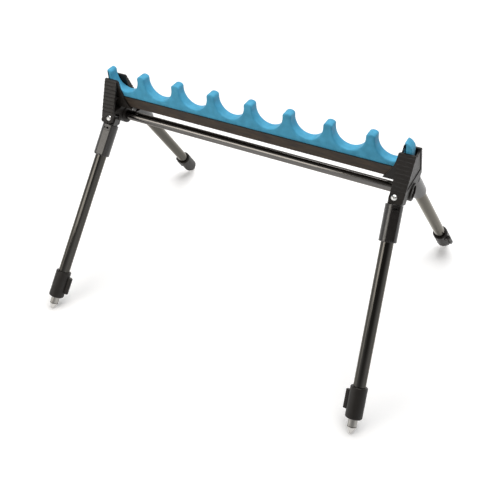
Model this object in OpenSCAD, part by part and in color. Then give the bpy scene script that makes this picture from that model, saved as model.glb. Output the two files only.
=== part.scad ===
// Folding four legged rest for a row of fishing rods
// Millimetres, Z up, X along the rest, origin on the ground below its middle
// Heights inside the modules are counted from the leg pivots

/* [Rod rest] */
// Distance between the middles of two neighbouring rod notches
notch_pitch = 70; // [64:1:90]
// Number of rod notches
notch_count = 8; // [4:1:10]
// Radius of a rod notch
notch_r = 27.5; // [22:0.5:29]
// Height of the notch floor above the edge of the channel
notch_rise = 7.7; // [5:0.1:14]
// Height of the tooth tops above the edge of the channel
tooth_rise = 44; // [40:0.5:50]
// Height of a tooth's dome above the tops of its shoulder arcs
tooth_crown = 0.82; // [0.5:0.02:3]
// Radius of the shoulders of a tooth
tooth_shoulder_r = 4.5; // [3:0.1:5.5]
// Depth of the foam strip from front to back
foam_depth = 19.3; // [16:0.1:22]
// Foam cut off the left end tooth
left_trim = 0.5; // [0.5:0.1:4]
// Foam cut off the right end tooth
right_trim = 4; // [1:0.1:6]
// Width of the right end tooth
right_tooth_w = 12.7; // [10:0.1:16]
// Radius of the falling back of the right end tooth
right_tooth_r = 15; // [14.5:0.1:18]

/* [Channel and crossbar] */
// Height of the channel that holds the foam
channel_h = 18.5; // [15:0.5:22]
// Wall of the channel
channel_wall = 1.5; // [1:0.1:2]
// Floor of the channel
channel_floor = 2; // [1.5:0.1:3]
// Height of the channel's underside above the pivots
channel_lift = 20.8; // [19:0.1:26]
// Outer diameter of the crossbar
crossbar_d = 17; // [14:0.5:18]
// Wall of the crossbar and of its end plugs' rim
crossbar_wall = 1.5; // [1:0.1:2.5]
// Depth of the crossbar's axis below the pivots
crossbar_drop = 5.5; // [4:0.1:6.5]
// Length of a crossbar end plug
plug_len = 14; // [12:1:24]

/* [Brackets] */
// Distance from the end of the notch row to the pivots
pivot_inset = 13.3; // [13:0.1:16]
// Half the distance between a front and a rear pivot
pivot_y = 32.3; // [32:0.1:36]
// Lean of the ribbed plates from the vertical
plate_lean = 25.3; // [22:0.1:28]
// Thickness of the ribbed plates
plate_t = 4; // [3:0.1:5]
// Distance from the pivots to the bracket's inner face
inner_reach = 7.9; // [7.5:0.1:9]
// Distance from the pivots to the bracket's outer face, at the top
outer_reach = 17.5; // [17:0.1:20]
// Distance from the pivots to the bracket's outer face, at the pivots
outer_reach_low = 15; // [14.8:0.1:16]
// Distance from the pivots to the inside of the outer wall
wall_reach = 13; // [12.9:0.1:13.3]
// Dip of the outer wall's top edge below the plates
wall_dip = 7; // [4:0.5:9]
// Depth of the outer wall's face between the plates' edges
wall_recess = 1.2; // [0.3:0.1:1.5]
// Pitch of the ribs on the plates
rib_pitch = 6.5; // [5:0.1:9]
// Radius of a rib
rib_r = 1.4; // [1:0.1:2]
// Height of a rib above its plate
rib_proud = 0.6; // [0.3:0.1:0.9]
// Wall of the cradle round the channel
cradle_wall = 2.5; // [2:0.1:3]
// Floor of the cradle below the channel
cradle_floor = 3; // [2.5:0.1:4]
// Height of the hollows' floor above the pivots
hollow_lift = 16; // [15:0.5:20]
// Height of the web in each hollow above the pivots
web_lift = 35; // [30:0.5:40]
// Thickness of the web in each hollow
web_t = 2; // [1.5:0.1:3]
// Reach of the wings inward from the pivots
wing_reach = 30.4; // [28:0.1:40]
// Radius of the hollow edge of the wings
wing_arc_r = 80; // [70:1:120]
// Outer diameter of the crossbar's socket
socket_d = 29.2; // [27:0.1:29.6]
// Gap between the socket and the fork round it
socket_gap = 2.1; // [1:0.1:2.3]

/* [Pivots] */
// Thickness of a fork, front to back
fork_t = 25; // [24:0.1:25.4]
// Height of a fork above its pivot, inside the plates
fork_rise = 12; // [11:0.5:15]
// Thickness of the tongue that turns in the fork
tongue_t = 12; // [10:0.1:14]
// Radius of the tongue's round end
tongue_r = 10; // [8:0.1:10]
// Gap on each side of the tongue
tongue_gap = 0.3; // [0.1:0.05:0.5]
// Distance from a pivot down to the shoulder of the leg's sleeve
shoulder = 10.3; // [10.2:0.1:12]
// Diameter of a pivot bolt
bolt_d = 5; // [4:0.5:6]
// Diameter of a bolt head
bolt_head_d = 9.3; // [8.6:0.1:10.5]
// Height of a bolt head
bolt_head_h = 2.75; // [2:0.05:3.5]
// Width of a nut across its flats
nut_w = 8; // [7:0.5:10]
// Height of a nut
nut_h = 4; // [3:0.5:5]

/* [Legs] */
// Lean of a leg from the vertical, seen from the end of the rest
leg_lean = 36.4; // [30:0.1:40]
// Outward splay of a leg, in its own folding plane
leg_splay = 5.7; // [0:0.1:8]
// Distance from a pivot to the middle of the round tip
leg_reach = 373.4; // [340:0.1:450]
// Outer diameter of the outer tube
tube_d = 20; // [19:0.1:21]
// Wall of the outer tube
tube_wall = 1.5; // [1:0.1:1.8]
// Outer diameter of the leg's sleeve
sleeve_d = 28; // [27:0.1:28.5]
// Distance from a pivot down to the end of the sleeve
sleeve_end = 68.1; // [60:0.1:90]
// Distance from a pivot down to the top of the outer tube
tube_top = 24.3; // [24:0.1:30]
// Outer diameter of the sliding inner tube
inner_d = 15; // [14.5:0.1:15.5]
// Wall of the inner tube
inner_wall = 1.2; // [0.8:0.1:1.5]
// Length of the slide bush on the inner tube
bush_len = 30; // [20:1:36]
// Travel of the inner tube
slide_travel = 200; // [100:1:200]
// Half angle of the spike's point
spike_angle = 26; // [20:1:32]
// Radius of the blunt tip
tip_r = 3.2; // [2:0.1:4]
// Diameter of the spike's shoulder
spike_d = 15; // [14:0.1:15.4]
// Distance from the middle of the tip up to the end of the inner tube
spike_len = 10.1; // [9.6:0.1:12]

/* [Locks] */
// Distance of the button panel from the leg's axis
panel_d = 12.6; // [12:0.1:13.4]
// Width of the button window
window_w = 10.4; // [8:0.1:10.6]
// Height of the button window
window_h = 6.2; // [5.8:0.1:7]
// Distance from a pivot down to the middle of the window
window_drop = 18.2; // [17.8:0.1:19]
// Travel of a lock button
button_travel = 2; // [1:0.1:2]
// Diameter of a collar
collar_d = 27.8; // [27:0.1:28.4]
// Distance from the middle of the tip up to the foot of a collar
collar_foot = 23; // [22:0.1:30]
// Height of a collar
collar_h = 51.3; // [50:0.1:60]
// Distance from the foot of a collar up to the end of the outer tube
tube_stop = 23.8; // [20:0.1:26]
// Distance from the foot of a collar up to the foot of the lever
lever_foot = 11.2; // [8:0.1:14]
// Length of a lever along the leg
lever_len = 30.9; // [26:0.1:34]
// Width of a lever's grip
lever_w = 7; // [6:0.1:8]
// Reach of a lever's outer face from the leg's axis
lever_reach = 20.6; // [19:0.1:21]
// Height of the lever's two pin eyes
eye_h = 3.9; // [3.5:0.1:5]
// Radius of the pin eyes and of the collar's lug
eye_r = 2.6; // [2.3:0.1:2.8]
// Radius of the lever pin
lever_pin_r = 1.25; // [1:0.05:1.5]
// Turn of the levers from the sides toward the middle of the rest
lever_turn = 12; // [0:1:20]

/* [Hidden] */
$fn = 64;

// Sides of the rest and its front and rear
LEFT = -1;
RIGHT = 1;
FRONT = -1;
REAR = 1;

// Clearances
fit = 0.05;
slack = 0.3;
// Overlap that lets a cut run past a face
cut = 1;
// Cut length that goes past the whole bracket
far = 60;

// Rod rest
row_half = notch_count * notch_pitch / 2;
channel_half = foam_depth / 2 + fit + channel_wall;
channel_top = channel_lift + channel_h;
foam_foot = channel_lift + channel_floor;
notch_z = channel_top + notch_rise + notch_r;
tooth_top = channel_top + tooth_rise;
tooth_half = notch_pitch / 2 - notch_r;
shoulder_r = min(tooth_shoulder_r, tooth_half - 0.5);
shoulder_x = tooth_half - shoulder_r;
shoulder_z = tooth_top - tooth_crown - shoulder_r;
dome_r = shoulder_r + tooth_crown / 2 + shoulder_x * shoulder_x / (2 * tooth_crown);
dome_z = tooth_top - dome_r;
foam_right = row_half - right_trim;
right_face = foam_right - right_tooth_w;

// Pivots
pivot_x = row_half - pivot_inset;
pivot_z = leg_reach * cos(leg_splay) * cos(leg_lean) + tip_r;
fork_half = fork_t / 2;
slot_half = tongue_t / 2 + tongue_gap;
fork_round = shoulder - 0.4;
fork_stop = shoulder - 0.15;
seat = fork_half - 0.25;
pocket_floor = fork_half - nut_h + 0.6;

// Brackets
cradle_half = channel_half + slack + cradle_wall;
cradle_foot = channel_lift - cradle_floor;
face_y = pivot_y + fork_half * cos(leg_lean);
face_z = fork_half * sin(leg_lean);
plate_len = (face_y - cradle_half) / sin(plate_lean);
plate_top = face_z + plate_len * cos(plate_lean);
plate_skin = plate_t / cos(plate_lean);
slot_half_y = foam_depth / 2 + slack;
dip_r = (slot_half_y * slot_half_y + wall_dip * wall_dip) / (2 * wall_dip);
rib_count = floor((plate_len - 2 * rib_pitch) / rib_pitch) + 1;
wing_top = plate_top - 1.5;
wing_arc_z = wing_top + 5.5;
wing_arc_x = wing_reach + sqrt(wing_arc_r * wing_arc_r - pow(wing_arc_z - cradle_foot, 2));
socket_r = socket_d / 2;
socket_in = 10;
socket_out = 18;
bar_end = 11;
screw_seat = 14.5;
channel_end = wall_reach - 0.2;

// Legs
tube_end = leg_reach - collar_foot - tube_stop;
inner_top = tube_end - bush_len - slide_travel - 0.4;
inner_end = leg_reach - spike_len;
bush_d = tube_d - 2 * tube_wall - 2 * fit;
spike_shoulder = tip_r * (1 - sin(spike_angle))
    + (spike_d / 2 - tip_r * cos(spike_angle)) / tan(spike_angle) - tip_r;
lever_pin_x = collar_d / 2 + 0.7;
lever_pin_y = 5.2;
pin_turn = atan2(lever_pin_y, lever_pin_x);
pin_reach = norm([lever_pin_x, lever_pin_y]);

// Turns of the four sleeves' panels from their outer normals
panel_front_left = -12;
panel_front_right = 30;
panel_rear_left = 30;
panel_rear_right = -12;

// Lock buttons
button_w = window_w - 0.4;
button_h = window_h - 0.4;
button_back = panel_d - 5;
spring_r = 1.95;
spring_wire = 0.35;
spring_bore = 2.6;
spring_seat = -1.5;
spring_top = button_back + 1.3;
spring_turns = 6;

// Colours
BLUE = "#3f9cc6";
BLACK = "#2e2b2a";
TUBE_BLACK = "#1b1a1c";
DARK_METAL = "#453c36";
STEEL = "#c9c9c6";
CHROME = "#e2e2e0";

// Extrudes a shape drawn in Y and Z along X
module along_x(from, to) {
    translate([from, 0, 0]) rotate([90, 0, 90]) linear_extrude(to - from) children();
}

// Extrudes a shape drawn in X and Z along Y
module along_y(from, to) {
    translate([0, to, 0]) rotate([90, 0, 0]) linear_extrude(to - from) children();
}

// Places a child at one end of the rest, with X pointing outward from the pivots
module at_end(side) {
    translate([side * pivot_x, 0, pivot_z]) mirror([side == LEFT ? 1 : 0, 0, 0]) children();
}

// Places a child at a fork, with Z up the leg and Y pointing away from its outer face
module at_fork(end) {
    mirror([0, end == REAR ? 1 : 0, 0]) translate([0, -pivot_y, 0]) rotate([-leg_lean, 0, 0]) children();
}

// Places a child on a leg, as a fork but with the splay
module at_leg(side, end) {
    at_end(side) at_fork(end) rotate([0, -leg_splay, 0]) children();
}

// Turns a leg's collar so that its lever points along X
module at_lever(end) {
    mirror([end == FRONT ? 1 : 0, 0, 0]) rotate([0, 0, lever_turn]) children();
}

// Cylinder with the radius and height given, with rounded rims
module rounded_post(r, h, foot_r, rim_r) {
    rotate_extrude() {
        translate([0, foot_r]) square([r, h - foot_r - rim_r]);
        square([r - foot_r, h]);
        intersection() {
            translate([r - foot_r, foot_r]) circle(foot_r);
            square([r, h]);
        }
        intersection() {
            translate([r - rim_r, h - rim_r]) circle(rim_r);
            square([r, h]);
        }
        square([r - max(foot_r, rim_r), h]);
        translate([r - foot_r - cut, h - rim_r]) square([foot_r + cut - rim_r, rim_r]);
    }
}

// Domed screw head with a hexagon socket, standing on Z 0
module button_head(d, h) {
    rim = 0.6;
    dome = h - rim;
    cap_r = (d * d / 4 + dome * dome) / (2 * dome);
    difference() {
        union() {
            cylinder(d = d, h = rim);
            intersection() {
                translate([0, 0, h - cap_r]) sphere(cap_r);
                translate([0, 0, rim / 2]) cylinder(d = d, h = h);
            }
        }
        translate([0, 0, h - 1.6]) cylinder(d = d * 0.37, h = 2, $fn = 6);
    }
}

// Outline of one tooth above the channel, seen from the front
module tooth() {
    translate([-tooth_half, channel_top]) square([2 * tooth_half, shoulder_z - channel_top]);
    for (s = [-1, 1]) translate([s * shoulder_x, shoulder_z]) circle(shoulder_r);
    intersection() {
        translate([0, dome_z]) circle(dome_r);
        polygon([
            [0, dome_z],
            [2 * shoulder_x, 2 * shoulder_z - dome_z],
            [-2 * shoulder_x, 2 * shoulder_z - dome_z],
        ]);
    }
}

// Right end tooth with its upright inner face and falling back
module end_tooth() {
    back_z = tooth_top - right_tooth_r + 0.7;
    intersection() {
        translate([right_face, channel_top]) square([right_tooth_w, tooth_rise + cut]);
        union() {
            translate([foam_right - right_tooth_r, back_z]) circle(right_tooth_r);
            translate([right_face, channel_top]) square([right_tooth_w, back_z - channel_top]);
        }
    }
}

module eva_rod_rest() {
    left = -row_half + left_trim;
    color(BLUE) translate([0, 0, pivot_z]) along_y(-foam_depth / 2, foam_depth / 2) {
        difference() {
            translate([left, foam_foot]) square([foam_right - left, notch_z - foam_foot]);
            for (k = [1 : notch_count - 1])
                translate([(k - (notch_count + 1) / 2) * notch_pitch, notch_z]) circle(notch_r);
            difference() {
                translate([row_half - notch_pitch / 2, notch_z]) circle(notch_r);
                translate([right_face, foam_foot]) square([far, far]);
            }
            translate([right_face, channel_top]) square([far, far]);
        }
        for (k = [1 : notch_count - 1]) translate([-row_half + k * notch_pitch, 0]) tooth();
        intersection() {
            translate([-row_half, 0]) tooth();
            translate([left, 0]) square([far, tooth_top + cut]);
        }
        end_tooth();
    }
}

module rest_channel() {
    half = pivot_x + channel_end;
    color(DARK_METAL) translate([0, 0, pivot_z]) difference() {
        translate([-half, -channel_half, channel_lift]) cube([2 * half, 2 * channel_half, channel_h]);
        translate([-half - cut, channel_wall - channel_half, foam_foot])
            cube([2 * (half + cut), 2 * (channel_half - channel_wall), channel_h]);
        channel_screw_holes(2.05);
    }
}

// Upright holes through the cradle floors and the channel
module channel_screw_holes(r) {
    for (side = [LEFT, RIGHT])
        translate([side * (pivot_x - wing_reach + 9), 0, cradle_foot - cut])
            cylinder(r = r, h = cradle_floor + channel_floor + 2 * cut);
}

module channel_screws() {
    color(STEEL) for (side = [LEFT, RIGHT])
        translate([side * (pivot_x - wing_reach + 9), 0, pivot_z + cradle_foot]) {
            cylinder(r = 2, h = cradle_floor + channel_floor);
            mirror([0, 0, 1]) button_head(7.6, 2.2);
        }
}

module lower_crossbar() {
    half = pivot_x + bar_end;
    color(TUBE_BLACK) translate([-half, 0, pivot_z - crossbar_drop]) rotate([0, 90, 0]) difference() {
        cylinder(d = crossbar_d, h = 2 * half);
        translate([0, 0, -cut]) cylinder(d = crossbar_d - 2 * crossbar_wall, h = 2 * (half + cut));
    }
}

module crossbar_plugs() {
    color(BLACK) for (side = [LEFT, RIGHT])
        at_end(side) translate([bar_end - plug_len, 0, -crossbar_drop]) rotate([0, 90, 0]) difference() {
            cylinder(r = crossbar_d / 2 - crossbar_wall - 0.03, h = plug_len);
            translate([0, 0, -cut]) cylinder(r = 2.55, h = plug_len + 2 * cut);
        }
}

module crossbar_screws() {
    color(BLACK) for (side = [LEFT, RIGHT])
        at_end(side) translate([screw_seat, 0, -crossbar_drop]) rotate([0, 90, 0]) {
            button_head(bolt_head_d, bolt_head_h);
            translate([0, 0, bar_end - plug_len + 2 - screw_seat])
                cylinder(r = 2.5, h = screw_seat - bar_end + plug_len - 2);
        }
}

// End view of a bracket, without its cradle and socket
module bracket_side() {
    difference() {
        union() {
            polygon([
                [-cradle_half, plate_top], [cradle_half, plate_top], [face_y, face_z],
                [pivot_y, 0], [-pivot_y, 0], [-face_y, face_z],
            ]);
            for (m = [0, 1]) mirror([m, 0]) {
                translate([-pivot_y, 0]) rotate(-leg_lean)
                    translate([-fork_half, -2 * shoulder]) square([fork_t, 2 * shoulder + fork_rise]);
                for (k = [0 : rib_count - 1])
                    translate([-face_y, face_z]) rotate(-plate_lean)
                        translate([rib_r - rib_proud, (k + 1.5) * rib_pitch]) circle(rib_r);
            }
        }
        intersection() {
            translate([0, -crossbar_drop]) circle(socket_r + socket_gap);
            translate([-far, 3 - 2 * far]) square(2 * far);
        }
    }
}

// Front view of a bracket, which grows narrower downward
module bracket_front() {
    drift = (outer_reach - outer_reach_low) / plate_top;
    polygon([
        [-inner_reach, -far], [-inner_reach, far + plate_top],
        [outer_reach_low + drift * (far + plate_top), far + plate_top], [outer_reach_low - drift * far, -far],
    ]);
}

// Part of a fork below its pivot that is taken off, seen along the bolt
module fork_end_cut() {
    corner_r = 5;
    edge = outer_reach_low - 0.5;
    difference() {
        translate([-far / 2, -far]) square([far, far]);
        intersection() {
            circle(fork_round);
            translate([-far, -far]) square([far, 2 * far]);
        }
        rotate(leg_splay) {
            translate([0, -fork_stop]) square([edge - corner_r, fork_stop + 5]);
            translate([edge - corner_r, corner_r - fork_stop]) circle(corner_r);
            translate([0, corner_r - fork_stop]) square([edge, fork_stop]);
        }
    }
}

// Pocket between a plate and the cradle, in the end view
module plate_pocket() {
    floor_y = face_y - (hollow_lift - face_z) * tan(plate_lean) - plate_skin;
    tip_z = face_z + (face_y - plate_skin - cradle_half - 1) / tan(plate_lean);
    polygon([
        [-cradle_half, hollow_lift], [-floor_y, hollow_lift],
        [-cradle_half - 1, tip_z], [-cradle_half, tip_z],
    ]);
}

// Shallow field in the outer wall between the edges of the two plates
module wall_field() {
    foot_y = face_y - (hollow_lift - face_z) * tan(plate_lean) - plate_skin;
    head_y = foot_y - (plate_top + cut - hollow_lift) * tan(plate_lean);
    difference() {
        along_x(wall_reach, outer_reach + cut) polygon([
            [-foot_y, hollow_lift], [foot_y, hollow_lift],
            [head_y, plate_top + cut], [-head_y, plate_top + cut],
        ]);
        translate([-wall_recess, 0, 0]) along_y(-far, far) bracket_front();
    }
}

module wing() {
    along_y(-cradle_half, cradle_half) difference() {
        translate([-wing_reach - 2, cradle_foot])
            square([wing_reach + 2 - inner_reach + cut, wing_top - cradle_foot]);
        translate([-wing_arc_x, wing_arc_z]) circle(wing_arc_r, $fn = 128);
    }
}

module bracket() {
    difference() {
        union() {
            difference() {
                intersection() {
                    along_x(-inner_reach, outer_reach + cut) bracket_side();
                    along_y(-far, far) bracket_front();
                }
                for (end = [FRONT, REAR])
                    at_fork(end) along_y(-fork_half - 2, fork_half + 1) fork_end_cut();
                for (m = [0, 1]) mirror([0, m, 0]) along_x(-far, wall_reach) plate_pocket();
            }
            wing();
            translate([-socket_in, 0, -crossbar_drop]) rotate([0, 90, 0])
                rounded_post(socket_r, socket_in + socket_out, 0.8, 1);
            for (m = [0, 1]) mirror([0, m, 0]) along_x(-inner_reach + cut, wall_reach + cut)
                intersection() {
                    plate_pocket();
                    translate([-far, web_lift]) square([far, web_t]);
                }
        }
        translate([-far, -channel_half - slack, channel_lift])
            cube([far + wall_reach, 2 * (channel_half + slack), channel_h + slack]);
        translate([-far, -slot_half_y, channel_lift])
            cube([far + wall_reach, 2 * slot_half_y, far + plate_top]);
        translate([wall_reach - cut, 0, plate_top - wall_dip + dip_r]) rotate([0, 90, 0])
            cylinder(r = dip_r, h = far);
        wall_field();
        for (end = [FRONT, REAR]) at_fork(end) fork_cuts();
        translate([0, 0, -crossbar_drop]) rotate([0, 90, 0]) {
            translate([0, 0, -socket_in - cut])
                cylinder(d = crossbar_d + 2 * fit, h = socket_in + cut + bar_end);
            cylinder(r = 2.7, h = far);
            translate([0, 0, screw_seat]) cylinder(r = socket_r - 3.6, h = far);
        }
        translate([-wing_reach + 9, 0, cradle_foot - cut]) cylinder(r = 2.05, h = cradle_floor + 2 * cut);
    }
}

// Slot for the tongue, bolt hole, seat of the bolt head and pocket of the nut
module fork_cuts() {
    translate([-far, -slot_half, -far]) cube([far + wall_reach, 2 * slot_half, far + tongue_r + 0.8]);
    rotate([90, 0, 0]) {
        cylinder(r = bolt_d / 2 + fit, h = 3 * fork_half, center = true);
        translate([0, 0, seat]) cylinder(r = bolt_head_d / 2 + 0.6, h = 4);
        translate([0, 0, -fork_half - 2])
            cylinder(d = nut_w / cos(30) + 0.2, h = fork_half + 2 - pocket_floor, $fn = 6);
    }
}

module left_bracket() {
    color(BLACK) at_end(LEFT) bracket();
}

module right_bracket() {
    color(BLACK) at_end(RIGHT) bracket();
}

module pivot_bolts() {
    color(CHROME) for (side = [LEFT, RIGHT], end = [FRONT, REAR])
        at_end(side) at_fork(end) rotate([90, 0, 0]) {
            translate([0, 0, seat]) button_head(bolt_head_d, bolt_head_h);
            translate([0, 0, -fork_half - 0.6]) cylinder(d = bolt_d, h = seat + fork_half + 0.6);
        }
}

module pivot_nuts() {
    color(STEEL) for (side = [LEFT, RIGHT], end = [FRONT, REAR])
        at_end(side) at_fork(end) rotate([90, 0, 0]) translate([0, 0, -pocket_floor - nut_h]) difference() {
            cylinder(d = nut_w / cos(30), h = nut_h, $fn = 6);
            translate([0, 0, -cut]) cylinder(r = bolt_d / 2 + 0.02, h = nut_h + 2 * cut);
        }
}

// Sleeve and tongue of a leg, with its panel turned by the angle given
module pivot_block(panel_turn) {
    color(BLACK) difference() {
        union() {
            translate([0, 0, -sleeve_end]) rounded_post(sleeve_d / 2, sleeve_end - shoulder, 0.8, 0.6);
            rotate([90, 0, 0]) cylinder(r = tongue_r, h = tongue_t, center = true);
            translate([-tongue_r, -tongue_t / 2, -shoulder - cut])
                cube([2 * tongue_r, tongue_t, shoulder + cut]);
        }
        rotate([90, 0, 0]) cylinder(r = bolt_d / 2 + fit, h = 2 * tongue_t, center = true);
        translate([0, 0, -sleeve_end - cut]) cylinder(r = tube_d / 2 + 0.03, h = sleeve_end + cut - tube_top);
        rotate([0, 0, panel_turn]) {
            translate([-far / 2, -far, -sleeve_end + 2])
                cube([far, far - panel_d, sleeve_end - shoulder - 3.2]);
            translate([-window_w / 2, -panel_d - cut, -window_drop - window_h / 2])
                cube([window_w, panel_d + cut - button_back + button_travel + slack, window_h]);
            translate([0, -spring_seat, -window_drop]) rotate([90, 0, 0])
                cylinder(r = spring_bore, h = panel_d + spring_seat);
        }
    }
}

// Button with a low ridge for the thumb and a bore for its spring
module lock_button(panel_turn) {
    color(BLACK) rotate([0, 0, panel_turn]) translate([0, 0, -window_drop]) difference() {
        translate([-button_w / 2, -panel_d - 0.4, -button_h / 2])
            cube([button_w, panel_d + 0.4 - button_back, button_h]);
        translate([-far / 2, -panel_d - cut, -button_h / 2 + 2.5]) cube([far, cut + 1.6, far]);
        translate([0, cut - button_back, 0]) rotate([90, 0, 0])
            cylinder(r = spring_bore - 0.1, h = cut + 3.4);
    }
}

// Point of a helix ring, counted by turn and by corner
function spring_point(t, k, sides) = let (
    a = 360 * t, b = 360 * k / sides, r = spring_r + spring_wire * cos(b),
    len = spring_top - spring_seat - 2 * spring_wire)
    [r * cos(a), r * sin(a), spring_wire + len * t / spring_turns + spring_wire * sin(b)];

module button_spring(panel_turn) {
    sides = 8;
    steps = 12 * spring_turns;
    points = [for (i = [0 : steps], k = [0 : sides - 1]) spring_point(i / 12, k, sides)];
    skin = [for (i = [0 : steps - 1], k = [0 : sides - 1]) let (n = (k + 1) % sides)
        [i * sides + k, (i + 1) * sides + k, (i + 1) * sides + n, i * sides + n]];
    caps = [[for (k = [0 : sides - 1]) k], [for (k = [0 : sides - 1]) (steps + 1) * sides - 1 - k]];
    color(STEEL) rotate([0, 0, panel_turn]) translate([0, -spring_seat, -window_drop]) rotate([90, 0, 0])
        polyhedron(points, concat(skin, caps));
}

module outer_tube() {
    color(TUBE_BLACK) translate([0, 0, -tube_end]) difference() {
        cylinder(d = tube_d, h = tube_end - tube_top);
        translate([0, 0, -cut]) cylinder(d = tube_d - 2 * tube_wall, h = tube_end + 2 * cut);
    }
}

module stop_ring() {
    ring_h = 6;
    color(BLACK) translate([0, 0, -inner_top + 0.2]) difference() {
        cylinder(d = bush_d, h = ring_h);
        translate([0, 0, -cut]) cylinder(d = bush_d - 4, h = ring_h + 2 * cut);
    }
}

// Collar with its lug, drawn with the lever pointing along X
module lock_collar(end) {
    foot_z = collar_foot - leg_reach;
    pin_r = eye_r + slack;
    color(BLACK) at_lever(end) translate([0, 0, foot_z]) difference() {
        union() {
            difference() {
                rounded_post(collar_d / 2, collar_h, 2.5, 1.5);
                for (z = [lever_foot - slack, lever_foot + lever_len - eye_h])
                    translate([lever_pin_x, lever_pin_y, z]) cylinder(r = pin_r, h = eye_h + slack);
            }
            translate([lever_pin_x, lever_pin_y, lever_foot + eye_h + 0.2])
                cylinder(r = eye_r, h = lever_len - 2 * eye_h - 0.4);
        }
        translate([0, 0, tube_stop]) cylinder(r = tube_d / 2 + 0.03, h = collar_h);
        translate([0, 0, -cut]) cylinder(r = inner_d / 2 + 0.08, h = collar_h);
        translate([lever_pin_x, lever_pin_y, lever_foot]) cylinder(r = lever_pin_r + 0.01, h = lever_len);
        rotate([0, 0, pin_turn]) translate([0, -2.1, lever_foot + 0.1]) cube([pin_reach, 4.2, 3.7]);
    }
}

// Grip of a lever with the two eyes that turn on the pin
module cam_lever(end) {
    back = collar_d / 2 + slack;
    color(BLACK) at_lever(end) translate([0, 0, collar_foot + lever_foot - leg_reach]) difference() {
        union() {
            translate([back, -lever_w / 2, 0]) cube([lever_reach - back - 2, lever_w, lever_len]);
            translate([back, 2 - lever_w / 2, 0]) cube([lever_reach - back, lever_w - 4, lever_len]);
            for (s = [-1, 1])
                translate([lever_reach - 2, s * (lever_w / 2 - 2), 0]) cylinder(r = 2, h = lever_len);
            for (z = [0, lever_len - eye_h]) translate([lever_pin_x, lever_pin_y, z]) {
                cylinder(r = eye_r, h = eye_h);
                rotate([0, 0, -90]) translate([0, -0.3, 0]) cube([3, eye_r + 0.3, eye_h]);
            }
        }
        translate([lever_pin_x, lever_pin_y, eye_h]) cylinder(r = eye_r + slack, h = lever_len - 2 * eye_h);
        translate([lever_pin_x, lever_pin_y, -cut]) cylinder(r = lever_pin_r + fit, h = lever_len + 2 * cut);
    }
}

module lever_pin(end) {
    color(STEEL) at_lever(end)
        translate([lever_pin_x, lever_pin_y, collar_foot + lever_foot + 0.2 - leg_reach])
            cylinder(r = lever_pin_r, h = lever_len - 0.4);
}

// Pad that the lower eye presses against the inner tube
module clamp_pad(end) {
    color(STEEL) at_lever(end) rotate([0, 0, pin_turn])
        translate([0, 0, collar_foot + lever_foot + 0.2 - leg_reach]) difference() {
            translate([0, -2, 0]) cube([pin_reach - eye_r - 0.1, 4, 3.5]);
            translate([0, 0, -cut]) cylinder(r = inner_d / 2 + 0.1, h = 3.5 + 2 * cut);
        }
}

module inner_tube() {
    color(STEEL) translate([0, 0, -inner_end]) difference() {
        cylinder(d = inner_d, h = inner_end - inner_top);
        translate([0, 0, -cut]) cylinder(d = inner_d - 2 * inner_wall, h = inner_end);
    }
}

module slide_bush() {
    color(BLACK) translate([0, 0, -inner_top - bush_len]) difference() {
        cylinder(d = bush_d, h = bush_len);
        translate([0, 0, -cut]) cylinder(r = inner_d / 2 + 0.03, h = bush_len + 2 * cut);
    }
}

module spike_tip() {
    shank_r = inner_d / 2 - inner_wall - 0.03;
    shank_len = 18;
    groove = spike_d / 2 - 1;
    color(STEEL) translate([0, 0, -leg_reach]) {
        sphere(tip_r);
        rotate_extrude() polygon([
            [0, -tip_r * sin(spike_angle)], [tip_r * cos(spike_angle), -tip_r * sin(spike_angle)],
            [spike_d / 2, spike_shoulder], [spike_d / 2, spike_len - 0.7], [groove, spike_len - 0.7],
            [groove, spike_len], [shank_r, spike_len],
            [shank_r, spike_len + shank_len], [0, spike_len + shank_len],
        ]);
    }
}

eva_rod_rest();
rest_channel();
lower_crossbar();
crossbar_plugs();
crossbar_screws();
channel_screws();
left_bracket();
right_bracket();
pivot_bolts();
pivot_nuts();

at_leg(LEFT, FRONT) pivot_block(panel_front_left);  // front_left_pivot_block
at_leg(LEFT, FRONT) lock_button(panel_front_left);  // front_left_lock_button
at_leg(LEFT, FRONT) button_spring(panel_front_left);  // front_left_button_spring
at_leg(LEFT, FRONT) outer_tube();  // front_left_outer_tube
at_leg(LEFT, FRONT) stop_ring();  // front_left_stop_ring
at_leg(LEFT, FRONT) lock_collar(FRONT);  // front_left_lock_collar
at_leg(LEFT, FRONT) cam_lever(FRONT);  // front_left_cam_lever
at_leg(LEFT, FRONT) lever_pin(FRONT);  // front_left_lever_pin
at_leg(LEFT, FRONT) clamp_pad(FRONT);  // front_left_clamp_pad
at_leg(LEFT, FRONT) inner_tube();  // front_left_inner_tube
at_leg(LEFT, FRONT) slide_bush();  // front_left_slide_bush
at_leg(LEFT, FRONT) spike_tip();  // front_left_spike_tip

at_leg(RIGHT, FRONT) pivot_block(panel_front_right);  // front_right_pivot_block
at_leg(RIGHT, FRONT) lock_button(panel_front_right);  // front_right_lock_button
at_leg(RIGHT, FRONT) button_spring(panel_front_right);  // front_right_button_spring
at_leg(RIGHT, FRONT) outer_tube();  // front_right_outer_tube
at_leg(RIGHT, FRONT) stop_ring();  // front_right_stop_ring
at_leg(RIGHT, FRONT) lock_collar(FRONT);  // front_right_lock_collar
at_leg(RIGHT, FRONT) cam_lever(FRONT);  // front_right_cam_lever
at_leg(RIGHT, FRONT) lever_pin(FRONT);  // front_right_lever_pin
at_leg(RIGHT, FRONT) clamp_pad(FRONT);  // front_right_clamp_pad
at_leg(RIGHT, FRONT) inner_tube();  // front_right_inner_tube
at_leg(RIGHT, FRONT) slide_bush();  // front_right_slide_bush
at_leg(RIGHT, FRONT) spike_tip();  // front_right_spike_tip

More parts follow.
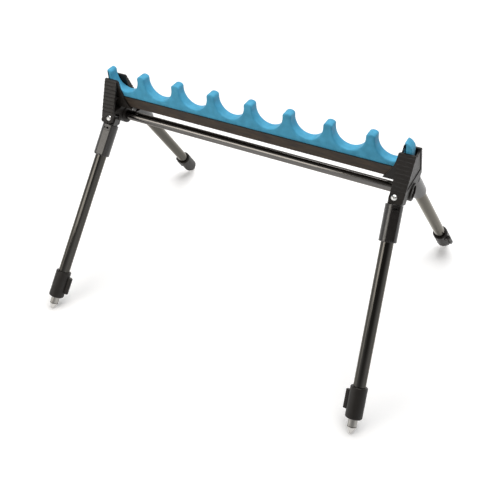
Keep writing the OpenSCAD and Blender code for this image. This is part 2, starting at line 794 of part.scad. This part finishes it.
at_leg(LEFT, REAR) pivot_block(panel_rear_left);  // rear_left_pivot_block
at_leg(LEFT, REAR) lock_button(panel_rear_left);  // rear_left_lock_button
at_leg(LEFT, REAR) button_spring(panel_rear_left);  // rear_left_button_spring
at_leg(LEFT, REAR) outer_tube();  // rear_left_outer_tube
at_leg(LEFT, REAR) stop_ring();  // rear_left_stop_ring
at_leg(LEFT, REAR) lock_collar(REAR);  // rear_left_lock_collar
at_leg(LEFT, REAR) cam_lever(REAR);  // rear_left_cam_lever
at_leg(LEFT, REAR) lever_pin(REAR);  // rear_left_lever_pin
at_leg(LEFT, REAR) clamp_pad(REAR);  // rear_left_clamp_pad
at_leg(LEFT, REAR) inner_tube();  // rear_left_inner_tube
at_leg(LEFT, REAR) slide_bush();  // rear_left_slide_bush
at_leg(LEFT, REAR) spike_tip();  // rear_left_spike_tip

at_leg(RIGHT, REAR) pivot_block(panel_rear_right);  // rear_right_pivot_block
at_leg(RIGHT, REAR) lock_button(panel_rear_right);  // rear_right_lock_button
at_leg(RIGHT, REAR) button_spring(panel_rear_right);  // rear_right_button_spring
at_leg(RIGHT, REAR) outer_tube();  // rear_right_outer_tube
at_leg(RIGHT, REAR) stop_ring();  // rear_right_stop_ring
at_leg(RIGHT, REAR) lock_collar(REAR);  // rear_right_lock_collar
at_leg(RIGHT, REAR) cam_lever(REAR);  // rear_right_cam_lever
at_leg(RIGHT, REAR) lever_pin(REAR);  // rear_right_lever_pin
at_leg(RIGHT, REAR) clamp_pad(REAR);  // rear_right_clamp_pad
at_leg(RIGHT, REAR) inner_tube();  // rear_right_inner_tube
at_leg(RIGHT, REAR) slide_bush();  // rear_right_slide_bush
at_leg(RIGHT, REAR) spike_tip();  // rear_right_spike_tip
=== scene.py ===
import math

import bpy
import numpy as np
from mathutils import Matrix, Vector


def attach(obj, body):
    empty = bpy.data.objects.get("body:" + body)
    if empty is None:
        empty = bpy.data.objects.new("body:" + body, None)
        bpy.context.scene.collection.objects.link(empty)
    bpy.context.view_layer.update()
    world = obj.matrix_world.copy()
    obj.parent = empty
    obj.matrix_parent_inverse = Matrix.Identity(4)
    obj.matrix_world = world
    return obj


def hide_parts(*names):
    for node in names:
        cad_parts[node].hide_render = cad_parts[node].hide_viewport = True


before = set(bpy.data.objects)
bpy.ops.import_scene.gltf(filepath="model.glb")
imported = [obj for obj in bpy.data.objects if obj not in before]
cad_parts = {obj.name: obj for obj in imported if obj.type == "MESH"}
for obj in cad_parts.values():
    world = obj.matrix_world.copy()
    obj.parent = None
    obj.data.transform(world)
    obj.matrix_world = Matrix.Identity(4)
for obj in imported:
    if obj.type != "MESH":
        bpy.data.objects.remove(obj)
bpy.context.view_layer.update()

MM = 0.001

# The legs, in millimetres and degrees
PIVOT_X, PIVOT_Y = 266.7, 32.3
LEG_LEAN, LEG_SPLAY, LEG_REACH = 36.4, 5.7, 373.4
TIP_R, SPIKE_LEN, GROOVE_W = 3.2, 10.1, 0.7
PIVOT_Z = LEG_REACH * math.cos(math.radians(LEG_SPLAY)) * math.cos(math.radians(LEG_LEAN)) + TIP_R

# The foam strip, in millimetres, with heights counted from the leg pivots
NOTCH_PITCH, NOTCH_COUNT, NOTCH_R, NOTCH_Z = 70.0, 8, 27.5, 74.5
TOOTH_TOP, DOME_R, SHOULDER_R = 83.3, 10.4, 4.5
FOAM_DEPTH, FOAM_FOOT, FOAM_EDGE = 19.3, 22.8, 2.4
LEFT_END, RIGHT_END, RIGHT_FACE = -279.5, 276.0, 263.3
BACK_R, BACK_RISE = 15.0, 0.7

# How finely the foam is divided: steps along its arcs, rows up its faces, rings round its edges
NOTCH_STEP, TOOTH_STEP = 1.0, 0.6
FACE_ROWS, UPRIGHT_ROWS, EDGE_RINGS = 8, 24, 7

# The channel's rim, in millimetres above the ground
CHANNEL_RIM = 341.6


# Surfaces

def surface(name, points, faces, finish, body, crease=35.0):
    """A piece from points in millimetres and faces, smooth but for edges sharper than the crease."""
    mesh = bpy.data.meshes.new(name)
    mesh.from_pydata((np.asarray(points) * MM).tolist(), [], [list(map(int, f)) for f in faces])
    mesh.polygons.foreach_set("use_smooth", np.ones(len(mesh.polygons), bool))
    mesh.set_sharp_from_angle(angle=math.radians(crease))
    mesh.update()
    piece = bpy.data.objects.new(name, mesh)
    bpy.context.scene.collection.objects.link(piece)
    piece.data.materials.append(finish)
    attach(piece, body)
    return piece


def arc(centre, radius, start, end, step):
    """Points on a circle: centre plus radius times (cos a, sin a), a going evenly from start to end."""
    count = max(3, int(abs(math.radians(end - start)) * radius / step) + 2)
    a = np.radians(np.linspace(start, end, count))
    return np.stack([centre[0] + radius * np.cos(a), centre[1] + radius * np.sin(a)], 1)


def tooth_outline(x):
    """Left to right over a tooth: shoulder arc, dome arc, shoulder arc, each meeting the next smoothly."""
    half = NOTCH_PITCH / 2 - NOTCH_R
    dome_z = TOOTH_TOP - DOME_R
    shoulder_x = half - SHOULDER_R
    rise = math.sqrt((DOME_R - SHOULDER_R) ** 2 - shoulder_x ** 2)
    turn = math.degrees(math.atan2(rise, shoulder_x))
    return np.concatenate([
        arc((x - shoulder_x, dome_z + rise), SHOULDER_R, 180, 180 - turn, TOOTH_STEP),
        arc((x, dome_z), DOME_R, 180 - turn, turn, TOOTH_STEP)[1:-1],
        arc((x + shoulder_x, dome_z + rise), SHOULDER_R, turn, 0, TOOTH_STEP),
    ])


def notch_outline(x, right_edge=None):
    """Left to right through a notch: the lower half of a circle, cut at right_edge where one is given."""
    last = 360 if right_edge is None else 270 + math.degrees(math.asin((right_edge - x) / NOTCH_R))
    return arc((x, NOTCH_Z), NOTCH_R, 180, last, NOTCH_STEP)


def left_tooth():
    """The first tooth, cut off upright at the foam's left end."""
    tooth = tooth_outline(-NOTCH_PITCH * NOTCH_COUNT / 2)
    least_step = 0.2
    kept = tooth[tooth[:, 0] > LEFT_END + least_step]
    return np.vstack([[LEFT_END, np.interp(LEFT_END, *tooth.T)], kept])


def right_tooth(low):
    """The last tooth: upright from the height low, then an arc over to the foam's right end."""
    back = (RIGHT_END - BACK_R, TOOTH_TOP - BACK_R + BACK_RISE)
    start = math.degrees(math.acos((RIGHT_FACE - back[0]) / BACK_R))
    high = back[1] + BACK_R * math.sin(math.radians(start))
    upright = np.linspace(low, high, UPRIGHT_ROWS)[1:-1]
    return np.vstack([
        np.stack([np.full_like(upright, RIGHT_FACE), upright], 1),
        arc(back, BACK_R, start, 0, TOOTH_STEP),
    ])


def top_outline():
    """The foam's top edge from its left end to its right end: teeth and notches in turn."""
    parts = [left_tooth()]
    for k in range(NOTCH_COUNT):
        middle = (k + 0.5 - NOTCH_COUNT / 2) * NOTCH_PITCH
        if k < NOTCH_COUNT - 1:
            parts += [notch_outline(middle), tooth_outline(middle + NOTCH_PITCH / 2)]
        else:
            parts.append(notch_outline(middle, RIGHT_FACE))
    parts.append(right_tooth(parts[-1][-1, 1]))
    return np.concatenate(parts)


def foot_places(top):
    """Where on the foam's foot each point of the top edge stands: straight below it in a notch, and spread
    evenly under a tooth, whose sides are upright."""
    close = 1e-6
    foot = top[:, 0].copy()
    tooth = (top[:, 1] >= NOTCH_Z - close) | (top[:, 0] >= RIGHT_FACE - close)
    edges = np.flatnonzero(np.diff(np.concatenate([[0], tooth.view(np.int8), [0]])))
    for a, b in zip(edges[::2], edges[1::2]):
        before, after = int(a > 0), int(b < len(top))
        low = top[a - 1, 0] if before else LEFT_END
        high = top[b, 0] if after else RIGHT_END
        foot[a:b] = np.linspace(low, high, b - a + before + after)[before:][: b - a]
    return foot


def inset(loop, amount):
    """A closed loop moved inward by amount along the mean of its neighbours' normals, with mitred corners."""
    ahead = np.roll(loop, -1, 0) - loop
    ahead /= np.maximum(np.linalg.norm(ahead, axis=1, keepdims=True), 1e-9)
    behind = np.roll(ahead, 1, 0)
    normal = np.stack([-(ahead[:, 1] + behind[:, 1]), ahead[:, 0] + behind[:, 0]], 1)
    normal /= np.linalg.norm(normal, axis=1, keepdims=True)
    spread = np.clip(np.abs(ahead[:, 0] * normal[:, 1] - ahead[:, 1] * normal[:, 0]), 0.6, 1)
    return loop + normal * (amount / spread)[:, None]


def foam_strip(finish):
    """Foam cut from a slab: its outline is a loop in X and Z, carried along Y, and near both faces the loop
    is drawn in by r (1 - sin a) at a depth of half - r (1 - cos a), so that the cut edges are rounded. Each
    face is a grid between the foot line and the top line."""
    top = top_outline()
    rows, count, half = FACE_ROWS, len(top), FOAM_DEPTH / 2
    share = np.linspace(0, 1, rows + 1)[:, None]
    base = np.stack([foot_places(top), np.full(count, FOAM_FOOT)], 1)
    right = base[-1] + (top[-1] - base[-1]) * share
    left = base[0] + (top[0] - base[0]) * share
    loop = np.concatenate([base, right[1:-1], top[::-1], left[-2:0:-1]])
    # The loop at each depth, from the front face to the back face
    angles = np.radians(np.linspace(0, 90, EDGE_RINGS))
    insets = FOAM_EDGE * (1 - np.sin(angles))
    depths = half - FOAM_EDGE * (1 - np.cos(angles))
    insets = np.concatenate([insets, insets[::-1]])
    depths = np.concatenate([-depths, depths[::-1]])
    rings = [inset(loop, i) for i in insets]
    points = [np.stack([r[:, 0], np.full(len(r), y), r[:, 1] + PIVOT_Z], 1) for r, y in zip(rings, depths)]
    size = len(loop)
    ring, step = np.meshgrid(np.arange(len(rings) - 1), np.arange(size), indexing="ij")
    after = (step + 1) % size
    wall = np.stack([ring * size + step, ring * size + after,
                     (ring + 1) * size + after, (ring + 1) * size + step], -1).reshape(-1, 4)[:, ::-1]
    faces = [wall]
    # The two faces: a grid whose border is the first or last ring, so only its inner points are new
    total = size * len(rings)
    for which, flip in ((0, False), (len(rings) - 1, True)):
        edge = rings[which]
        low, high = edge[:count], edge[count + rows - 1: 2 * count + rows - 1][::-1]
        inner = low[None, 1:-1] + (high - low)[None, 1:-1] * share[1:-1, :, None]
        flat = inner.reshape(-1, 2)
        points.append(np.stack([flat[:, 0], np.full(len(flat), depths[which]), flat[:, 1] + PIVOT_Z], 1))
        grid = np.empty((rows + 1, count), int)
        start = which * size
        grid[0] = start + np.arange(count)
        grid[-1] = start + 2 * count + rows - 2 - np.arange(count)
        grid[1:-1, -1] = start + count + np.arange(rows - 1)
        grid[1:-1, 0] = start + 2 * count + 2 * rows - 3 - np.arange(rows - 1)
        grid[1:-1, 1:-1] = total + np.arange(len(flat)).reshape(rows - 1, count - 2)
        total += len(flat)
        cells = np.stack([grid[:-1, :-1], grid[:-1, 1:], grid[1:, 1:], grid[1:, :-1]], -1).reshape(-1, 4)
        faces.append(cells[:, ::-1] if flip else cells)
    piece = surface("foam_rod_rest", np.concatenate(points), np.concatenate(faces), finish, "rest")
    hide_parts("eva_rod_rest")
    return piece


# Finishes

class Finish:
    """A material with a Principled shader, and short ways to add its patterns."""

    def __init__(self, name, colour, roughness, **sockets):
        self.material = bpy.data.materials.new(name)
        self.material.use_nodes = True
        self.tree = self.material.node_tree
        self.shader = self.tree.nodes["Principled BSDF"]
        self.set(self.shader, Base_Color=(*colour, 1), Roughness=roughness, **sockets)
        self.place = self.add("TexCoord").outputs["Object"]

    def add(self, kind, **settings):
        """A new node of that kind with its settings."""
        node = self.tree.nodes.new("ShaderNode" + kind)
        for key, value in settings.items():
            setattr(node, key, value)
        return node

    def give(self, socket, value):
        """Links a pattern to a socket, or sets the socket's own value."""
        if isinstance(value, bpy.types.NodeSocket):
            self.tree.links.new(value, socket)
        else:
            socket.default_value = value

    def set(self, node, **sockets):
        """Gives a node's sockets by name, with _ for a space."""
        for name, value in sockets.items():
            self.give(node.inputs[name.replace("_", " ")], value)

    def math(self, operation, *values):
        """What a Math node makes of its values or patterns."""
        node = self.add("Math", operation=operation)
        for socket, value in zip(node.inputs, values):
            self.give(socket, value)
        return node.outputs[0]

    def along(self, frame_matrix, stretch):
        """Coordinates in the frame given, divided by stretch along its three axes."""
        node = self.add("Mapping", vector_type="TEXTURE")
        place, turn, _ = frame_matrix.decompose()
        self.set(node, Vector=self.place, Location=place, Rotation=turn.to_euler(), Scale=stretch)
        self.place = node.outputs[0]

    def height(self):
        """Z of the coordinates in use."""
        node = self.add("SeparateXYZ")
        self.set(node, Vector=self.place)
        return node.outputs["Z"]

    def noise(self, size, detail=2.0):
        """Noise whose features are about size millimetres wide."""
        node = self.add("TexNoise")
        self.set(node, Vector=self.place, Scale=1000 / size, Detail=detail)
        return node.outputs["Fac"]

    def cells(self, size):
        """Distance to the nearest of scattered points about size millimetres apart."""
        node = self.add("TexVoronoi")
        self.set(node, Vector=self.place, Scale=1000 / size)
        return node.outputs["Distance"]

    def ranged(self, value, low, high, from_low=0.3, from_high=0.7):
        """A pattern's values from from_low to from_high, spread evenly from low to high."""
        node = self.add("MapRange")
        self.set(node, Value=value, From_Min=from_low, From_Max=from_high, To_Min=low, To_Max=high)
        return node.outputs[0]

    def tint(self, value, low, high):
        """Base colour between two colours or patterns, by a value from 0 to 1."""
        node = self.add("Mix", data_type="RGBA")
        for slot, given in ((0, value), (6, low), (7, high)):
            self.give(node.inputs[slot], given if isinstance(given, bpy.types.NodeSocket) else (*given, 1))
        self.set(self.shader, Base_Color=node.outputs[2])
        return node.outputs[2]

    def relief(self, height, depth, edge=0.0):
        """Bump of depth millimetres, over edges rounded to edge millimetres."""
        node = self.add("Bump")
        self.set(node, Height=height, Distance=depth * MM, Strength=1.0)
        if edge:
            bevel = self.add("Bevel", samples=4)
            self.set(bevel, Radius=edge * MM)
            self.set(node, Normal=bevel.outputs[0])
        self.set(self.shader, Normal=node.outputs[0])


def shade(colour, share):
    """A colour made darker or lighter by a share."""
    return tuple(c * share for c in colour)


def foam_finish():
    """Closed-cell foam: fine cells, slightly cloudy blue."""
    f = Finish("blue foam", (0.05, 0.3, 0.48), 0.62, Sheen_Weight=0.12, Sheen_Roughness=0.4,
               Specular_IOR_Level=0.3)
    f.tint(f.ranged(f.noise(12, 5), 0, 1), (0.047, 0.285, 0.455), (0.067, 0.37, 0.58))
    f.relief(f.cells(0.7), 0.05)
    return f.material


def moulded_finish(name, colour, roughness=0.42, shine=0.26):
    """Moulded plastic with an eroded grain and softly rounded edges."""
    f = Finish(name, colour, roughness, Specular_IOR_Level=shine)
    f.tint(f.ranged(f.noise(9, 3), 0, 1), colour, shade(colour, 1.25))
    f.set(f.shader, Roughness=f.ranged(f.noise(3, 3), roughness - 0.05, roughness + 0.07))
    f.relief(f.noise(0.5, 2), 0.02, edge=0.5)
    return f.material


def drawn_finish(name, colour, roughness, frame_matrix, stretch, **sockets):
    """Drawn tube: faint lines along its length and a slightly uneven gloss."""
    f = Finish(name, colour, roughness, **sockets)
    f.along(frame_matrix, stretch)
    lines = f.noise(0.7, 3)
    f.set(f.shader, Roughness=f.ranged(lines, roughness - 0.04, roughness + 0.08))
    f.tint(f.ranged(f.noise(4, 3), 0, 1), colour, shade(colour, 1.2))
    f.relief(lines, 0.002)
    return f.material


def channel_finish():
    """Dark anodised channel, stained brown in places, with painted shade along its rim under the foam."""
    f = Finish("dark channel", (0.03, 0.023, 0.018), 0.45, Metallic=0.5)
    # A thin band just under the rim is painted dark teal: painted shade where the foam's lip shades the
    # channel
    painted_shade_foot, painted_shade_top = CHANNEL_RIM - 1.6, CHANNEL_RIM - 0.5
    rim = f.ranged(f.height(), 0, 1, painted_shade_foot * MM, painted_shade_top * MM)
    f.along(Matrix.Identity(4), (6, 1, 1))
    lines = f.noise(0.7, 3)
    f.set(f.shader, Roughness=f.ranged(lines, 0.41, 0.53))
    metal = f.tint(f.ranged(f.noise(4, 3), 0, 1), (0.025, 0.019, 0.015), (0.05, 0.034, 0.021))
    # Painted shade: the colour turns dark teal in the band under the rim
    f.tint(rim, metal, (0.008, 0.013, 0.013))
    f.relief(lines, 0.002)
    return f.material


def turned_finish(name, colour, roughness, frame_matrix):
    """Turned metal: fine rings round its axis, and a dark brown band over the groove."""
    f = Finish(name, colour, roughness, Metallic=1.0)
    f.along(frame_matrix, (60, 60, 1))
    groove_z = SPIKE_LEN - GROOVE_W / 2 - LEG_REACH
    groove = f.math("COMPARE", f.height(), groove_z * MM, GROOVE_W * MM)
    rings = f.noise(0.35, 2)
    ringed_colour = f.tint(f.ranged(rings, 0, 1), shade(colour, 0.86), colour)
    f.tint(groove, ringed_colour, (0.09, 0.065, 0.045))
    f.set(f.shader, Roughness=f.ranged(rings, roughness - 0.06, roughness + 0.1))
    f.relief(rings, 0.012)
    return f.material


def plated_finish(name, colour, roughness):
    """Plated hardware: even metal with faint smudges."""
    f = Finish(name, colour, roughness, Metallic=1.0)
    f.tint(f.ranged(f.noise(2, 3), 0, 1), shade(colour, 0.92), colour)
    f.set(f.shader, Roughness=f.ranged(f.noise(1.2, 3), roughness * 0.8, roughness * 1.3))
    return f.material


# The pieces

LEGS = {
    "front_left": (-1, -1),
    "front_right": (1, -1),
    "rear_left": (-1, 1),
    "rear_right": (1, 1),
}


def leg_frame(side, end):
    """Where a leg's own frame lies: pivot place, mirrored lean and splay, Z up the leg."""
    turn = (Matrix.Rotation(math.radians(end * LEG_LEAN), 4, "X")
            @ Matrix.Rotation(math.radians(-side * LEG_SPLAY), 4, "Y"))
    return Matrix.Translation(Vector((side * PIVOT_X, end * PIVOT_Y, PIVOT_Z)) * MM) @ turn


def dress(materials, prefix=""):
    """Gives each CAD node named its one material."""
    for node, material in materials.items():
        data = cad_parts[prefix + node].data
        data.materials.clear()
        data.materials.append(material)


def dress_all():
    """Every CAD node's material: first the rest's own nodes, then those of each leg."""
    plastic = moulded_finish("black moulded plastic", (0.0138, 0.0118, 0.0103))
    soft_plastic = moulded_finish("black slide plastic", (0.03, 0.03, 0.03), 0.5)
    hardware = plated_finish("plated steel", (0.55, 0.54, 0.52), 0.3)
    chrome = plated_finish("chrome", (0.80, 0.80, 0.78), 0.3)
    glossy = moulded_finish("black glossy plastic", (0.011, 0.0095, 0.0085), 0.2, 0.6)
    black_screw = plated_finish("blackened steel", (0.06, 0.058, 0.055), 0.35)
    lines_in_x, lines_up_leg = (40, 1, 1), (1, 1, 40)
    bar = drawn_finish("black crossbar", (0.13, 0.125, 0.12), 0.15, Matrix.Identity(4), lines_in_x,
                       Metallic=1.0, Specular_Tint=(0.6, 0.58, 0.55, 1))
    dress({
        "rest_channel": channel_finish(), "lower_crossbar": bar, "crossbar_plugs": soft_plastic,
        "crossbar_screws": black_screw, "channel_screws": hardware, "left_bracket": plastic,
        "right_bracket": plastic, "pivot_bolts": chrome, "pivot_nuts": hardware,
    })
    for leg, (side, end) in LEGS.items():
        place = leg_frame(side, end)
        tube = drawn_finish(f"black tube {leg}", (0.06, 0.0575, 0.053), 0.14, place, lines_up_leg,
                            Metallic=1.0, Specular_Tint=(0.87, 0.845, 0.79, 1))
        bare = drawn_finish(f"bare tube {leg}", (0.32, 0.312, 0.295), 0.34, place, lines_up_leg, Metallic=1.0)
        spike = turned_finish(f"turned spike {leg}", (0.63, 0.62, 0.60), 0.28, place)
        dress({
            "pivot_block": glossy, "lock_button": glossy, "button_spring": hardware, "outer_tube": tube,
            "stop_ring": soft_plastic, "lock_collar": plastic, "cam_lever": plastic, "lever_pin": hardware,
            "clamp_pad": hardware, "inner_tube": bare, "slide_bush": soft_plastic, "spike_tip": spike,
        }, prefix=f"{leg}_")


# The studio

def floor():
    """Pale floor far wider than the object. For the camera and in reflections it also glows, more so the
    further it lies from the object, where the lamps no longer make it white."""
    reach = 12.0
    near, far, glow_near, glow_far = 0.8, 2.2, 0.28, 0.8
    f = Finish("pale floor", (0.86, 0.86, 0.86), 0.9, Specular_IOR_Level=0.1)
    path = f.add("LightPath")
    seen = f.math("MAXIMUM", path.outputs["Is Camera Ray"], path.outputs["Is Glossy Ray"])
    seen = f.math("MAXIMUM", seen, path.outputs["Is Transmission Ray"])
    away = f.add("VectorMath", operation="LENGTH")
    f.give(away.inputs[0], f.place)
    glow = f.math("MULTIPLY", seen, f.ranged(away.outputs["Value"], glow_near, glow_far, near, far))
    f.set(f.shader, Emission_Color=(1, 1, 1, 1), Emission_Strength=glow)
    mesh = bpy.data.meshes.new("floor")
    corners = [(-reach, -reach, 0), (reach, -reach, 0), (reach, reach, 0), (-reach, reach, 0)]
    mesh.from_pydata(corners, [], [(0, 1, 2, 3)])
    piece = bpy.data.objects.new("floor", mesh)
    mesh.materials.append(f.material)
    bpy.context.scene.collection.objects.link(piece)


def sky():
    """White at the horizon, dim overhead."""
    world = bpy.data.worlds.new("studio")
    world.use_nodes = True
    bpy.context.scene.world = world
    tree = world.node_tree
    place = tree.nodes.new("ShaderNodeTexCoord")
    split = tree.nodes.new("ShaderNodeSeparateXYZ")
    ramp = tree.nodes.new("ShaderNodeValToRGB")
    tree.links.new(place.outputs["Generated"], split.inputs[0])
    tree.links.new(split.outputs["Z"], ramp.inputs[0])
    horizon, overhead = ramp.color_ramp.elements
    horizon.position, horizon.color = 0.06, (0.95, 0.95, 0.95, 1)
    overhead.position, overhead.color = 0.42, (0.12, 0.115, 0.11, 1)
    tree.links.new(ramp.outputs[0], tree.nodes["Background"].inputs[0])


def softbox(name, width, height, place, aim, power, colour=(1, 1, 1)):
    """A rectangular lamp at place that faces aim, in metres and watts."""
    lamp = bpy.data.lights.new(name, "AREA")
    lamp.shape, lamp.size, lamp.size_y, lamp.energy = "RECTANGLE", width, height, power
    lamp.color = colour
    piece = bpy.data.objects.new(name, lamp)
    piece.location = place
    piece.rotation_mode = "QUATERNION"
    piece.rotation_quaternion = (Vector(aim) - Vector(place)).to_track_quat("-Z", "Y")
    bpy.context.scene.collection.objects.link(piece)


def camera():
    """The photograph's view: azimuth, elevation, roll and distance from a target, in degrees and metres."""
    azimuth, elevation, roll = (math.radians(a) for a in (30.1, 41.5, -2.5))
    target, distance = Vector((-11.8, 0, 61.2)) * MM, 1.3589
    focus_px, frame_px, sensor = 706.8, 500, 36.0
    back = Vector((math.sin(azimuth) * math.cos(elevation), -math.cos(azimuth) * math.cos(elevation),
                   math.sin(elevation)))
    right = Vector((math.cos(azimuth), math.sin(azimuth), 0))
    up = back.cross(right)
    turned = right * math.cos(roll) + up * math.sin(roll)
    raised = up * math.cos(roll) - right * math.sin(roll)
    data = bpy.data.cameras.new("camera")
    data.sensor_fit, data.sensor_width, data.lens = "HORIZONTAL", sensor, sensor * focus_px / frame_px
    data.clip_start, data.clip_end = 0.05, 60
    piece = bpy.data.objects.new("camera", data)
    axes = Matrix((turned, raised, back)).transposed().to_4x4()
    piece.matrix_world = Matrix.Translation(target + back * distance) @ axes
    bpy.context.scene.collection.objects.link(piece)
    bpy.context.scene.camera = piece


dress_all()
foam_strip(foam_finish())
floor()
sky()
softbox("overhead", 1.8, 1.4, (0.1, 0.5, 1.9), (0, 0, 0.2), 39)
softbox("front left", 0.7, 0.6, (-0.55, -1.0, 0.8), (-0.5, 0, 0.8), 5.2, (1, 0.95, 0.88))
softbox("far left", 0.36, 1.0, (-1.35, -1.32, 0.6), (0, 0, 0.2), 2.4, (1, 0.94, 0.86))
camera()
bpy.context.scene.view_settings.view_transform = "Standard"
